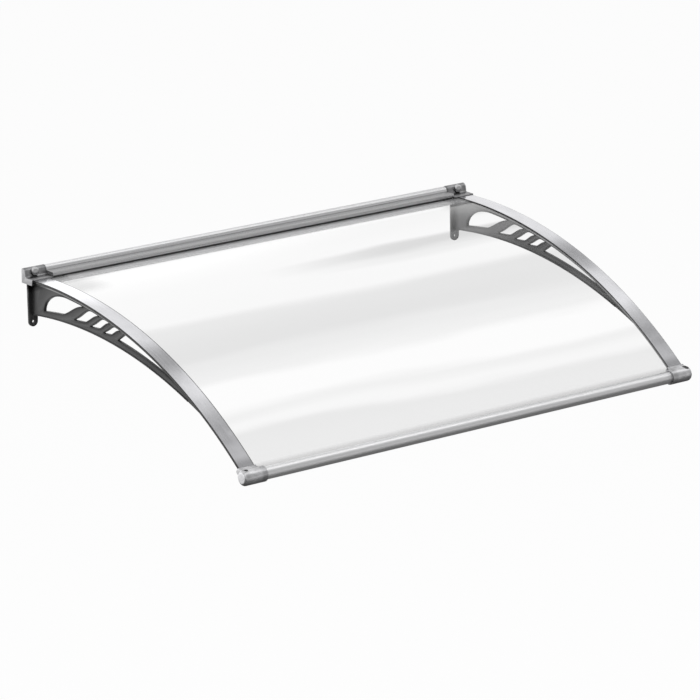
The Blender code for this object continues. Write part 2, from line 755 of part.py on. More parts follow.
def bracket(side, suffix):
    """Wall plate, web with rims and windows, and a flange under the sheet."""
    name = "bracket_" + suffix
    centre = side * ARM_X
    half_web = WEB_THICKNESS / 2
    half_rim = RIM_THICKNESS / 2
    half_flange = FLANGE_WIDTH / 2
    windows = [first_window()]
    windows += [slanted_window(index) for index in range(len(STRUT_REAR_FEET) - 1)]
    windows.append(spear_window())
    solid = side_solid(name, [web_outline()], centre - half_web, centre + half_web, PARTS)
    rims = [grown(window, RIM_WIDTH) for window in windows]
    rims.append(lower_rim_outline())
    for number, rim in enumerate(rims):
        label = name + "_rim_" + str(number)
        tool = side_solid(label, [rim], centre - half_rim, centre + half_rim, CUTTERS)
        combine(solid, tool, "UNION")
    start = angle_at(FLANGE_OUTER, CAP_FRONT + GAP)
    end = angle_before_bar(FRONT_CAP_RADIUS + 2 * GAP)
    flange = arc_band(FLANGE_INNER, FLANGE_OUTER, start, end)
    label = name + "_flange"
    tool = side_solid(label, [flange], centre - half_flange, centre + half_flange, CUTTERS)
    combine(solid, tool, "UNION")
    label = name + "_plate"
    tool = front_solid(label, [plate_outline()], 0.0, PLATE_THICKNESS, centre, CUTTERS)
    combine(solid, tool, "UNION")
    for number, window in enumerate(windows):
        label = name + "_window_" + str(number)
        tool = side_solid(label, [window], centre - 0.008, centre + 0.008, CUTTERS)
        combine(solid, tool, "DIFFERENCE")
    hole_height = -LUG_DROP + LUG_WIDTH / 2
    hole = circle_points((0.0, hole_height), LUG_HOLE_RADIUS, 0.0, 2 * math.pi, 24)[:-1]
    label = name + "_hole"
    tool = front_solid(label, [hole], -0.002, PLATE_THICKNESS + 0.002, centre, CUTTERS)
    combine(solid, tool, "DIFFERENCE")
    settle(solid)
    dress(solid, CAST_ALUMINIUM, 25)


def arm_seal(side, suffix):
    """Thin rubber between the bracket's flange and the sheet."""
    start = angle_at(ARM_SEAL_OUTER, CAP_FRONT + GAP)
    end = angle_before_bar(FRONT_CAP_RADIUS + 2 * GAP)
    outline = arc_band(ARM_SEAL_INNER, ARM_SEAL_OUTER, start, end)
    half = FLANGE_WIDTH / 2
    centre = side * ARM_X
    solid = side_solid("arm_seal_" + suffix, [outline], centre - half, centre + half, PARTS)
    dress(solid, BLACK_RUBBER, 30)


# Cover strip on the sheet's edge

def cover_strip(side, suffix):
    start = angle_at(ARCH_RADIUS, STRIP_REAR)
    end = angle_before_bar(FRONT_CAP_RADIUS + 2 * GAP)
    outline = arc_band(STRIP_INNER, STRIP_OUTER, start, end)
    half = STRIP_WIDTH / 2
    centre = side * ARM_X
    solid = side_solid("cover_strip_" + suffix, [outline], centre - half, centre + half, PARTS)
    dress(solid, STAINLESS, 30)


# Front bar, with a slot for the sheet and an open chamber in front of it

def bar_circle(radius, start, end, count):
    """Points round the bar's axis, from the sheet's direction, counter-clockwise in side view."""
    points = []
    for index in range(count + 1):
        angle = start + (end - start) * index / count
        points.append(bar_frame_point(radius * math.cos(angle), -radius * math.sin(angle)))
    return points


def slot_corner(radius, half):
    return math.asin(half / radius)


def front_bar():
    corner = slot_corner(BAR_RADIUS, SLOT_HALF)
    outer = bar_circle(BAR_RADIUS, corner, 2 * math.pi - corner, 44)
    outer.append(bar_frame_point(BAR_SLOT_REACH, SLOT_HALF))
    outer.append(bar_frame_point(BAR_SLOT_REACH, -SLOT_HALF))
    inside = BAR_RADIUS - BAR_WALL
    flat = math.acos((BAR_SLOT_REACH - BAR_WALL) / inside)
    chamber = bar_circle(inside, flat, 2 * math.pi - flat, 24)
    solid = side_solid("front_bar", [outer, chamber], -BAR_HALF, BAR_HALF, PARTS)
    dress(solid, SATIN_ALUMINIUM, 30)


def front_seals():
    """Rubber above and below the sheet in the front bar's slot."""
    reach = math.sqrt(BAR_RADIUS ** 2 - SLOT_HALF ** 2)
    low = BAR_SLOT_REACH + GAP
    upper = [
        bar_frame_point(low, SLOT_HALF - GAP),
        bar_frame_point(reach, SLOT_HALF - GAP),
        bar_frame_point(reach + 0.0009, SLOT_HALF - SEAL_THICKNESS * 0.6),
        bar_frame_point(reach + 0.0009, SLOT_HALF - SEAL_THICKNESS),
        bar_frame_point(low, SLOT_HALF - SEAL_THICKNESS),
    ]
    lower = [(along, -normal) for along, normal in ((low, SLOT_HALF - GAP), (reach, SLOT_HALF - GAP))]
    lower += [(reach + 0.0009, SEAL_THICKNESS * 0.6 - SLOT_HALF)]
    lower += [(reach + 0.0009, SEAL_THICKNESS - SLOT_HALF), (low, SEAL_THICKNESS - SLOT_HALF)]
    lower = [bar_frame_point(along, normal) for along, normal in lower]
    half = CAP_INNER - GAP
    for name, outline in (("front_upper_seal", upper), ("front_lower_seal", lower)):
        solid = side_solid(name, [outline], -half, half, PARTS)
        dress(solid, BLACK_RUBBER, 30)


# Front end caps: a cup over the bar's end with a saddle that takes strip, sheet and flange

def saddle_outline():
    """The saddle in side view, from inside the cup to its rear face."""
    base = BAR_RADIUS * 0.72
    top = SADDLE_RISE
    low = -SADDLE_DROP
    ease_back = 0.003
    corners = [
        (base, low),
        (base, top + 0.006),
        (base + 0.006, top + 0.0035),
        (SADDLE_REACH - 0.006, top),
        (SADDLE_REACH - ease_back / 2, top - ease_back / 3),
        (SADDLE_REACH, top - ease_back),
        (SADDLE_REACH, low + ease_back),
        (SADDLE_REACH - ease_back, low),
    ]
    return [bar_frame_point(along, normal) for along, normal in corners]


def front_end_cap(side, suffix):
    name = "front_end_cap_" + suffix
    bore = BAR_RADIUS + GAP
    outer = FRONT_CAP_RADIUS
    length = CAP_LENGTH
    profile = [(0.0, length)]
    rim = outer - FRONT_CAP_ROUND
    for step in range(7):
        angle = math.radians(90 - 15 * step)
        across = rim + FRONT_CAP_ROUND * math.cos(angle)
        profile.append((across, length - FRONT_CAP_ROUND + FRONT_CAP_ROUND * math.sin(angle)))
    profile += [
        (outer, 0.0),
        (bore, 0.0),
        (bore, BAR_IN_CAP + GAP),
        (0.0, BAR_IN_CAP + GAP),
    ]
    height = height_at(ARCH_RADIUS, BAR_REACH)
    place = (side * CAP_INNER, -BAR_REACH, height)
    turn = (0.0, side * math.pi / 2, 0.0)
    solid = turned_solid(name, profile, 44, place, turn, PARTS)
    low = CAP_INNER + SADDLE_INBOARD
    high = HALF_WIDTH - SADDLE_OUTBOARD
    tool = side_solid(name + "_saddle", [saddle_outline()], side * low, side * high, CUTTERS)
    # The saddle starts inboard over the bore, so its root is trimmed to the cup's bore
    bore_profile = [(0.0, BAR_IN_CAP + GAP), (bore, BAR_IN_CAP + GAP), (bore, -0.01), (0.0, -0.01)]
    core = turned_solid(name + "_bore", bore_profile, 44, place, turn, CUTTERS)
    combine(solid, tool, "UNION")
    combine(solid, core, "DIFFERENCE")
    # Slot for the sheet from the saddle's rear face down to the bar's slot
    far = angle_before_bar(SADDLE_REACH + 0.004)
    near = angle_before_bar(BAR_SLOT_REACH)
    slot = arc_band(SHEET_INNER - GAP, SHEET_OUTER + GAP, far, near)
    reach = SHEET_HALF_WIDTH + GAP
    tool = side_solid(name + "_slot", [slot], side * (CAP_INNER - 0.001), side * reach, CUTTERS)
    combine(solid, tool, "DIFFERENCE")
    near = angle_before_bar(FRONT_CAP_RADIUS + GAP)
    slot = arc_band(SHEET_OUTER - 0.001, STRIP_OUTER + GAP, far, near)
    half = STRIP_WIDTH / 2 + GAP
    low = ARM_X - half
    high = ARM_X + half
    tool = side_solid(name + "_strip_slot", [slot], side * low, side * high, CUTTERS)
    combine(solid, tool, "DIFFERENCE")
    slot = arc_band(FLANGE_INNER - GAP, SHEET_INNER + 0.001, far, near)
    half = FLANGE_WIDTH / 2 + GAP
    low = ARM_X - half
    high = ARM_X + half
    tool = side_solid(name + "_arm_slot", [slot], side * low, side * high, CUTTERS)
    combine(solid, tool, "DIFFERENCE")
    # Sunk seat and hole for the screw on top of the cup
    seat = [
        (0.0, FRONT_CAP_RADIUS + 0.006),
        (CAP_SCREW_RADIUS + GAP, FRONT_CAP_RADIUS + 0.006),
        (CAP_SCREW_RADIUS + GAP, CAP_SCREW_SEAT),
        (CAP_SCREW_SHANK + GAP, CAP_SCREW_SEAT),
        (CAP_SCREW_SHANK + GAP, CAP_SCREW_SEAT - CAP_SCREW_LENGTH - GAP),
        (0.0, CAP_SCREW_SEAT - CAP_SCREW_LENGTH - GAP),
    ]
    tool = across_cup(name + "_seat", seat, 20, side, CUTTERS)
    combine(solid, tool, "DIFFERENCE")
    settle(solid)
    dress(solid, SATIN_ALUMINIUM, 30)


def across_cup(name, profile, steps, side, collection):
    """A turned solid whose axis crosses the bar's axis, with heights measured from there."""
    lean = BAR_ANGLE + math.radians(CAP_SCREW_ANGLE_DEGREES) - math.pi / 2
    height = height_at(ARCH_RADIUS, BAR_REACH)
    place = (side * (HALF_WIDTH - CAP_SCREW_INSET), -BAR_REACH, height)
    return turned_solid(name, profile, steps, place, (lean, 0.0, 0.0), collection)


def front_cap_screw(side, suffix):
    """A black screw with a hexagon socket, sunk in its seat on top of the cup."""
    low = CAP_SCREW_SEAT + GAP
    high = low + CAP_SCREW_HEAD
    profile = [
        (0.0, high),
        (CAP_SCREW_RADIUS - 0.0004, high),
        (CAP_SCREW_RADIUS, high - 0.0004),
        (CAP_SCREW_RADIUS, low),
        (CAP_SCREW_SHANK, low),
        (CAP_SCREW_SHANK, low - CAP_SCREW_LENGTH),
        (0.0, low - CAP_SCREW_LENGTH),
    ]
    name = "front_cap_screw_" + suffix
    solid = across_cup(name, profile, 20, side, PARTS)
    socket = [(0.0, high + 0.001), (0.0022, high + 0.001), (0.0022, high - 0.0013), (0.0, high - 0.0013)]
    tool = across_cup(name + "_socket", socket, 6, side, CUTTERS)
    combine(solid, tool, "DIFFERENCE")
    settle(solid)
    dress(solid, SCREW_BLACK, 35)


def build_pair(side, suffix):
    rail_end_cap(side, suffix)
    cap_bolt(side, suffix)
    cap_washer(side, suffix)
    bracket(side, suffix)
    arm_seal(side, suffix)
    cover_strip(side, suffix)
    front_end_cap(side, suffix)
    front_cap_screw(side, suffix)


sheet()
wall_rail()
rail_seals()
front_bar()
front_seals()
build_pair(-1, "left")
build_pair(1, "right")
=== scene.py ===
# %% [markdown]
# # A wall-mounted door canopy
#
# A sheet of clear polycarbonate is bent between a rail on the wall and a round bar at the front. Two cast
# brackets carry it, and a brushed steel strip covers each edge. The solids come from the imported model. This
# script gives them a machined surface: rolled and extruded forms, softened edges, and finishes made of nodes.

# %% Load the solids
import math

import bpy
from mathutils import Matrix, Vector


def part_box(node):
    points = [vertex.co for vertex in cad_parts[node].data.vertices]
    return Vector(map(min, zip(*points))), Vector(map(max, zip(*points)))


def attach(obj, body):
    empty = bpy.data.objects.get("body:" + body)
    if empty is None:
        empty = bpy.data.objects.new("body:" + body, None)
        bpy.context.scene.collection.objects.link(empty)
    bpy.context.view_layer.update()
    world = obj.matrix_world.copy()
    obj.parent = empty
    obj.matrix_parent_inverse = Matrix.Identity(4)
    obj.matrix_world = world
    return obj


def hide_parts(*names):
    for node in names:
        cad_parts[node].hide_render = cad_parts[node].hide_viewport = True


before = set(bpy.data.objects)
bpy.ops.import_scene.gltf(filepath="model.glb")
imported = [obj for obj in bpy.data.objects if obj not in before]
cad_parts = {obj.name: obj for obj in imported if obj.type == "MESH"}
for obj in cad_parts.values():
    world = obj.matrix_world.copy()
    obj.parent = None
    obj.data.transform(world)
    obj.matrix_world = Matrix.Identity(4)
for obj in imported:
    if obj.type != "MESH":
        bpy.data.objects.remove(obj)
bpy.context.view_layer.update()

SIDES = ("left", "right")


# %% [markdown]
# ## Working like at the bench
#
# Every operator in Blender acts on what is selected, so each step starts with nothing selected. These small
# helpers pick one piece, go into edit mode and out of it again, and apply what a piece still carries as a
# setting, so that its place, its turn and its modifiers end up in the mesh.

# %% Selection helpers
SAME_POINT = 0.000005  # points closer than this, in metres, are one point


def pick_nothing():
    if bpy.context.object and bpy.context.object.mode != "OBJECT":
        bpy.ops.object.mode_set(mode="OBJECT")
    bpy.ops.object.select_all(action="DESELECT")


def pick_only(piece):
    pick_nothing()
    piece.select_set(True)
    bpy.context.view_layer.objects.active = piece


def edit(piece):
    pick_only(piece)
    bpy.ops.object.mode_set(mode="EDIT")


def leave_edit():
    bpy.ops.object.mode_set(mode="OBJECT")


def keep_place_in_mesh(piece):
    pick_only(piece)
    bpy.ops.object.transform_apply(location=True, rotation=True, scale=True)


def apply_all(piece):
    pick_only(piece)
    for modifier in list(piece.modifiers):
        bpy.ops.object.modifier_apply(modifier=modifier.name)


def tidy_normals(piece, smooth_below):
    """Merges doubled points, turns all faces outwards and shades them smooth below an angle in degrees."""
    edit(piece)
    bpy.ops.mesh.select_all(action="SELECT")
    bpy.ops.mesh.remove_doubles(threshold=SAME_POINT)
    bpy.ops.mesh.normals_make_consistent(inside=False)
    leave_edit()
    bpy.ops.object.shade_smooth_by_angle(angle=math.radians(smooth_below))


# %% [markdown]
# ## Taking a solid over
#
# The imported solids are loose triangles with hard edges. A real casting or extrusion has no razor edge, and
# that thin bright line along each edge is what makes metal look like metal. So a copy of the solid has its
# doubled points merged, its flat areas cleaned, a small bevel on every edge, and smooth shading.

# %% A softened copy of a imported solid
FLAT_ANGLE = math.radians(0.15)  # triangles that meet at less than this lie in one flat face
HARD_ANGLE = math.radians(35)  # edges sharper than this are rounded


def softened_copy(node, bevel, segments, smooth_below):
    """A merged copy with rounded edges. The bevel is in metres, the shading's angle in degrees."""
    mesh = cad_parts[node].data.copy()
    piece = bpy.data.objects.new(node + "_finished", mesh)
    bpy.context.scene.collection.objects.link(piece)
    edit(piece)
    bpy.ops.mesh.select_all(action="SELECT")
    bpy.ops.mesh.remove_doubles(threshold=SAME_POINT)
    bpy.ops.mesh.dissolve_limited(angle_limit=FLAT_ANGLE)
    leave_edit()
    if bevel > 0:
        round_over = piece.modifiers.new("round over", "BEVEL")
        round_over.width = bevel
        round_over.segments = segments
        round_over.limit_method = "ANGLE"
        round_over.angle_limit = HARD_ANGLE
        apply_all(piece)
    pick_only(piece)
    bpy.ops.object.shade_smooth_by_angle(angle=math.radians(smooth_below))
    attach(piece, "root")
    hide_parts(node)
    print(node, "finished with", len(piece.data.polygons), "faces")
    return piece


# %% [markdown]
# ## Bending flat stock over the arch
#
# The sheet and the two strips are flat stock laid over the same arch. A rectangle is the cross-section of the
# stock, and the Spin tool carries it round the arch's axis, just as a roller bends a strip. With many steps
# the long curve reflects in one clean sweep, with no facets.

# %% Bend a flat cross-section round the arch
SHEET_RADIUS = 1.3217  # of the sheet's middle surface, in metres
CROWN_REACH = 0.072  # how far from the wall the arch is highest
ARCH_AXIS = Vector((0.0, -CROWN_REACH, -SHEET_RADIUS))
ARCH_STEPS = 150
CORNER_ANGLE = math.radians(50)  # only the stock's four long corners are sharper than this


def bent_stock(name, x_low, x_high, inner, outer, start, end, bevel):
    """Stock between two sides and two radii, from a rear to a front angle of the arch."""
    middle = (inner + outer) / 2
    place = ARCH_AXIS + Vector((0.0, -middle * math.sin(start), middle * math.cos(start)))
    place.x = (x_low + x_high) / 2
    pick_nothing()
    bpy.ops.mesh.primitive_plane_add(size=1.0, location=place, rotation=(math.pi / 2 + start, 0.0, 0.0))
    piece = bpy.context.object
    piece.name = name
    piece.scale = (x_high - x_low, outer - inner, 1.0)
    keep_place_in_mesh(piece)
    edit(piece)
    bpy.ops.mesh.select_all(action="SELECT")
    bpy.ops.mesh.spin(steps=ARCH_STEPS, angle=start - end, center=ARCH_AXIS, axis=(1.0, 0.0, 0.0))
    leave_edit()
    tidy_normals(piece, 30)
    if bevel > 0:
        round_over = piece.modifiers.new("rolled edge", "BEVEL")
        round_over.width = bevel
        round_over.segments = 2
        round_over.limit_method = "ANGLE"
        round_over.angle_limit = CORNER_ANGLE
        apply_all(piece)
        tidy_normals(piece, 30)
    lowest = min(point.co.z for point in piece.data.vertices)
    print(name, "bent:", len(piece.data.polygons), "faces, lowest point", round(lowest, 4))
    return piece


def box_angle(node, radius):
    """The arch angles of a node's rear and front ends, from its box."""
    low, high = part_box(node)
    rear = math.asin((-high[1] - CROWN_REACH) / radius)
    front = math.asin((-low[1] - CROWN_REACH) / radius)
    return rear, front


# %% [markdown]
# ## The clear sheet
#
# Solid polycarbonate, 4 mm thick. It slides into a slot in the wall rail and a slot in the front bar, and the
# tension of the bend keeps it there. Of its square front end the outer corner reaches furthest, so the angle that
# is measured at the inner face comes out too large, and some of it is taken off. The end still reaches 2 mm
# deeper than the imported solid's. It lies hidden in the bar.

# %% Bend the sheet
HALF_SHEET = 0.002
SHEET_END_TRIM = 0.0009  # radians taken off the front end's angle
sheet_low, sheet_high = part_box("canopy_sheet")
sheet_inner = SHEET_RADIUS - HALF_SHEET
sheet_outer = SHEET_RADIUS + HALF_SHEET
rear, front = box_angle("canopy_sheet", sheet_inner)
front = front - SHEET_END_TRIM
sheet = bent_stock("clear_sheet", sheet_low[0], sheet_high[0], sheet_inner, sheet_outer, rear, front, 0.0)
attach(sheet, "root")
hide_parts("canopy_sheet")


# %% [markdown]
# ## The cover strips
#
# Stainless strip, 48 mm wide, lies on the sheet along each edge. Its ends tuck under the lip of the rail's end
# cap and into the saddle of the front end cap. The strip mill leaves its long corners a little rounded.

# %% Bend the cover strips
STRIP_GAP = 0.0003  # air between the sheet and a cover strip
STRIP_THICKNESS = 0.0018
STRIP_CORNER = 0.0005  # width of the rounded corners
STRIP_END_TRIM = 0.0006  # radians taken off the front end's angle
strips = {}
for side in SIDES:
    node = "cover_strip_" + side
    low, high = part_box(node)
    inner = SHEET_RADIUS + HALF_SHEET + STRIP_GAP
    outer = inner + STRIP_THICKNESS
    rear, front = box_angle(node, inner)
    front = front - STRIP_END_TRIM
    strips[side] = bent_stock("brushed_strip_" + side, low[0], high[0], inner, outer, rear, front, STRIP_CORNER)
    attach(strips[side], "root")
    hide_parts(node)


# %% [markdown]
# ## The castings and extrusions
#
# The brackets and end caps are castings, so their edges get a wider round. The rail and the bar are
# extrusions, with sharp but not razor corners. The bolts, washers and screws are small turned pieces.

# %% Finish the metal pieces
SOFT_EDGES = {  # bevel in metres, steps round it, degrees below which the shading is smooth
    "bracket": (0.0005, 2, 40),
    "rail_end_cap": (0.0009, 3, 40),
    "front_end_cap": (0.0005, 2, 40),
    "cap_bolt": (0.0003, 2, 40),
    "cap_washer": (0.0002, 2, 40),
    "front_cap_screw": (0.0002, 2, 40),
    "arm_seal": (0.0, 1, 30),
}
LONG_PIECES = (
    "wall_rail",
    "front_bar",
    "rail_upper_seal",
    "rail_lower_seal",
    "front_upper_seal",
    "front_lower_seal",
)
finished = {}
for side in SIDES:
    for kind, softness in SOFT_EDGES.items():
        node = kind + "_" + side
        finished[node] = softened_copy(node, *softness)
for node in LONG_PIECES:
    finished[node] = softened_copy(node, 0.0003, 2, 30)
print("softened copies:", len(finished))


# %% [markdown]
# ## Node helpers
#
# A material is a small graph. These helpers start one and add a node with its settings, so that each finish
# below reads as a recipe: which pattern, at which scale, drives which property.

# %% Start a material, add a node
def new_material(name):
    """A new material, its graph and the shader that is already in it."""
    made = bpy.data.materials.new(name)
    made.use_nodes = True
    tree = made.node_tree
    shader = tree.nodes["Principled BSDF"]
    return made, tree, shader


def add_node(tree, kind, **settings):
    node = tree.nodes.new(kind)
    for key, value in settings.items():
        setattr(node, key, value)
    return node


# %% [markdown]
# ## The pattern behind every finish
#
# Nearly every surface here starts from one noise. Read on the object's own coordinates it sticks to the piece,
# and stretched along one axis it turns into die lines on an extrusion or brush marks on steel.

# %% Stretched noise
def stretched_noise(tree, stretch, detail=4.0, roughness=0.6):
    """Noise on object coordinates, stretched by a scale for each axis. Large numbers make it fine."""
    place = add_node(tree, "ShaderNodeTexCoord")
    mapping = add_node(tree, "ShaderNodeMapping")
    mapping.inputs["Scale"].default_value = stretch
    noise = add_node(tree, "ShaderNodeTexNoise")
    noise.inputs["Scale"].default_value = 1.0
    noise.inputs["Detail"].default_value = detail
    noise.inputs["Roughness"].default_value = roughness
    tree.links.new(place.outputs["Object"], mapping.inputs["Vector"])
    tree.links.new(mapping.outputs["Vector"], noise.inputs["Vector"])
    return noise.outputs["Fac"]


# %% [markdown]
# ## From a pattern to a look
#
# A noise rarely leaves the middle of its 0 to 1 range. So these helpers take the part from 0.3 to 0.7 and spread
# it between two numbers, for roughness, or between two shades, for colour. A ramp with several stops gives tones
# that change from place to place, and multiplying lays one layer of colour over another.

# %% Spread, shade, ramp and multiply
NOISE_LOW = 0.3
NOISE_HIGH = 0.7


def grey(level):
    """A neutral metal grey with a trace of blue."""
    return (level, level, level * 1.01)


def spread(tree, value, low, high):
    """The used part of a pattern, spread between two numbers."""
    node = add_node(tree, "ShaderNodeMapRange")
    node.inputs["From Min"].default_value = NOISE_LOW
    node.inputs["From Max"].default_value = NOISE_HIGH
    node.inputs["To Min"].default_value = low
    node.inputs["To Max"].default_value = high
    tree.links.new(value, node.inputs["Value"])
    return node.outputs["Result"]


def shades(tree, value, dark, light):
    """The used part of a pattern as a colour between two greys."""
    ramp = add_node(tree, "ShaderNodeValToRGB")
    ramp.color_ramp.elements[0].position = NOISE_LOW
    ramp.color_ramp.elements[0].color = (*grey(dark), 1.0)
    ramp.color_ramp.elements[1].position = NOISE_HIGH
    ramp.color_ramp.elements[1].color = (*grey(light), 1.0)
    tree.links.new(value, ramp.inputs["Fac"])
    return ramp.outputs["Color"]


def tone_ramp(tree, value, stops):
    """A smooth grey ramp through (place, tone) stops, with places from 0 to 1."""
    ramp = add_node(tree, "ShaderNodeValToRGB")
    ramp.color_ramp.interpolation = "EASE"
    while len(ramp.color_ramp.elements) < len(stops):
        ramp.color_ramp.elements.new(0.5)
    for element, (place, tone) in zip(ramp.color_ramp.elements, stops):
        element.position = place
        element.color = (tone, tone, tone, 1.0)
    tree.links.new(value, ramp.inputs["Fac"])
    return ramp.outputs["Color"]


def multiplied(tree, first, second):
    """One colour laid over another, as a glaze is."""
    node = add_node(tree, "ShaderNodeMix", data_type="RGBA", blend_type="MULTIPLY")
    node.inputs["Factor"].default_value = 1.0
    tree.links.new(first, node.inputs["A"])
    tree.links.new(second, node.inputs["B"])
    return node.outputs["Result"]


# %% [markdown]
# ## Finishes that know their place
#
# Tones change along a piece, such as a dark band over the rail's ledge. Most of them are painted shade, painted
# highlights and painted reflections in a fixed place, so they don't move with the view, and a finish must know
# where on the piece a point lies. One picture can't tell which of them are reflections or shade. These helpers
# read the object's own coordinates, do a step of arithmetic, and turn a length in metres into a tone.

# %% Place helpers
def coordinates(tree):
    """The object's own X, Y and Z, each as a number in metres."""
    place = add_node(tree, "ShaderNodeTexCoord")
    parts = add_node(tree, "ShaderNodeSeparateXYZ")
    tree.links.new(place.outputs["Object"], parts.inputs[0])
    return parts.outputs["X"], parts.outputs["Y"], parts.outputs["Z"]


def worked_out(tree, operation, first, second=0.0):
    """One step of arithmetic with a pattern and a number, or with two patterns."""
    node = add_node(tree, "ShaderNodeMath", operation=operation)
    tree.links.new(first, node.inputs[0])
    if isinstance(second, (int, float)):
        node.inputs[1].default_value = second
    else:
        tree.links.new(second, node.inputs[1])
    return node.outputs[0]


def tones_over(tree, value, stops, scale=1.0, shift=0.0):
    """A grey ramp over a length in metres: its stops are stretched into the ramp's 0 to 1."""
    placed = worked_out(tree, "MULTIPLY", worked_out(tree, "ADD", value, shift), scale)
    return tone_ramp(tree, placed, [((at + shift) * scale, tone) for at, tone in stops])


# %% [markdown]
# ## A plain metal
#
# The simplest finish here uses one grain for everything: its light places are a little lighter, rougher and
# higher than its dark ones. That ties colour, gloss and relief together, as scratches and pores do on metal.

# %% Plain metal
def bumps(tree, shader, value, strength, depth):
    """Small relief that follows a pattern, with its depth in metres."""
    bump = add_node(tree, "ShaderNodeBump")
    bump.inputs["Strength"].default_value = strength
    bump.inputs["Distance"].default_value = depth
    tree.links.new(value, bump.inputs["Height"])
    tree.links.new(bump.outputs["Normal"], shader.inputs["Normal"])


def metal(name, tones, roughness, grain, relief, metallic=1.0):
    """A metal whose tone, roughness and relief, as strength and depth, follow one pattern."""
    made, tree, shader = new_material(name)
    pattern = stretched_noise(tree, grain)
    tree.links.new(shades(tree, pattern, *tones), shader.inputs["Base Color"])
    tree.links.new(spread(tree, pattern, *roughness), shader.inputs["Roughness"])
    shader.inputs["Metallic"].default_value = metallic
    bumps(tree, shader, pattern, *relief)
    print(name, "has", len(tree.nodes), "nodes")
    return made


# %% [markdown]
# ## Finishes
#
# Anodised aluminium shows fine die lines along the extrusion, so its pattern is stretched along the rail.
# Brushed stainless shows streaks along the strip. A casting has a fine, even grain. Rubber is dull.

# %% Metal finishes
DIE_LINES = (3.0, 900.0, 900.0)
FINE_GRAIN = (900.0, 900.0, 900.0)
RUBBER_GRAIN = (400.0, 400.0, 400.0)
bar_metal = metal("satin_bar", (0.66, 0.74), (0.32, 0.40), DIE_LINES, relief=(0.10, 0.0002))
bolt_metal = metal("bolt_steel", (0.40, 0.50), (0.26, 0.34), FINE_GRAIN, relief=(0.05, 0.0001))
screw_metal = metal("black_screw", (0.012, 0.025), (0.35, 0.45), FINE_GRAIN, relief=(0.10, 0.0001), metallic=0.4)
rubber = metal("black_rubber", (0.010, 0.020), (0.60, 0.75), RUBBER_GRAIN, relief=(0.20, 0.0002), metallic=0.0)

# %% [markdown]
# ## The end caps' finish
#
# The caps are castings with a dull satin skin. They get painted shade where they meet the rail or the bar and on
# their undersides, and painted light on their flat end faces. So a fine grain is multiplied by soft clouds, by a
# ramp over the distance from the canopy's middle, and by one over the height. The flat end faces are kept out of
# that last ramp.

# %% The skin of a cast cap
CAP_GRAIN = (650.0, 650.0, 650.0)
CAP_CLOUDS = (70.0, 90.0, 90.0)
END_FACE = [(0.7488, 0.0), (0.7496, 1.0)]
NEAR_THE_ENDS = {"scale": 8.0, "shift": -0.65}  # a ramp from 0.65 to 0.775 m off the middle
WHOLE_HEIGHT = {"scale": 2.5, "shift": 0.345}  # a ramp from 0.345 m below the crown to 0.055 m above it


def cast_skin(name, tones, roughness, over_width, over_height):
    made, tree, shader = new_material(name)
    grain = stretched_noise(tree, CAP_GRAIN)
    clouds = stretched_noise(tree, CAP_CLOUDS, detail=3.0, roughness=0.55)
    across, _, height = coordinates(tree)
    off_middle = worked_out(tree, "ABSOLUTE", across)
    # Painted shade where a cap meets the rail or the bar, painted light on its end faces, then painted shade low
    # down
    painted_across = tones_over(tree, off_middle, over_width, **NEAR_THE_ENDS)
    painted_below = tones_over(tree, height, over_height, **WHOLE_HEIGHT)
    end_face = tones_over(tree, off_middle, END_FACE, **NEAR_THE_ENDS)
    painted_shading = multiplied(tree, painted_across, worked_out(tree, "MAXIMUM", painted_below, end_face))
    clouded = multiplied(tree, shades(tree, grain, *tones), shades(tree, clouds, 0.84, 1.10))
    colour = multiplied(tree, clouded, painted_shading)
    tree.links.new(colour, shader.inputs["Base Color"])
    tree.links.new(spread(tree, clouds, *roughness), shader.inputs["Roughness"])
    shader.inputs["Metallic"].default_value = 1.0
    bumps(tree, shader, grain, strength=0.08, depth=0.0002)
    print(name, "has", len(tree.nodes), "nodes")
    return made, tree, shader, colour


# %% [markdown]
# ## The rail's end caps
#
# These two are the dullest metal on the canopy. Their inner ends get painted shade and their outer faces a
# painted highlight, so the ramp over the width starts low and ends high.

# %% Rail end cap finish
# Painted shade at the inner ends, a painted highlight on the outer end faces, and painted shade on the lower part
RAIL_CAP_SHADE_AND_LIGHT = [(0.682, 0.55), (0.690, 0.85), (0.706, 1.0), (0.735, 0.95), (0.746, 0.75), (0.7497, 1.25)]
RAIL_CAP_SHADE = [(-0.0020, 0.50), (0.0010, 1.0)]
cap_metal, _, _, _ = cast_skin("cast_cap", (0.26, 0.34), (0.28, 0.40), RAIL_CAP_SHADE_AND_LIGHT, RAIL_CAP_SHADE)

# %% [markdown]
# ## The front end caps
#
# These are lighter, like the bar. On their round end faces a ramp over the distance from the bar's axis paints
# shade on the rim. The right cap's screw shows as a black dot that is larger than its low head looks from the
# camera, so one more ramp over the distance from that screw paints a ring of shade round it.

# %% Distances on the front caps
def distance_from(tree, point):
    """How far a place on the object lies from a point, in metres."""
    place = add_node(tree, "ShaderNodeTexCoord")
    span = add_node(tree, "ShaderNodeVectorMath", operation="DISTANCE")
    tree.links.new(place.outputs["Object"], span.inputs[0])
    span.inputs[1].default_value = point
    return span.outputs["Value"]


def distance_from_bar(tree, axis_y, axis_z):
    """How far a place lies from the axis of the front bar, which runs along X."""
    _, y, z = coordinates(tree)
    off_y = worked_out(tree, "ADD", y, -axis_y)
    off_z = worked_out(tree, "ADD", z, -axis_z)
    y_squared = worked_out(tree, "MULTIPLY", off_y, off_y)
    z_squared = worked_out(tree, "MULTIPLY", off_z, off_z)
    return worked_out(tree, "SQRT", worked_out(tree, "ADD", y_squared, z_squared))


def middle_of(node):
    low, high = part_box(node)
    return [(least + most) / 2 for least, most in zip(low, high)]


print("front bar's axis at", [round(place, 4) for place in middle_of("front_bar")[1:]])
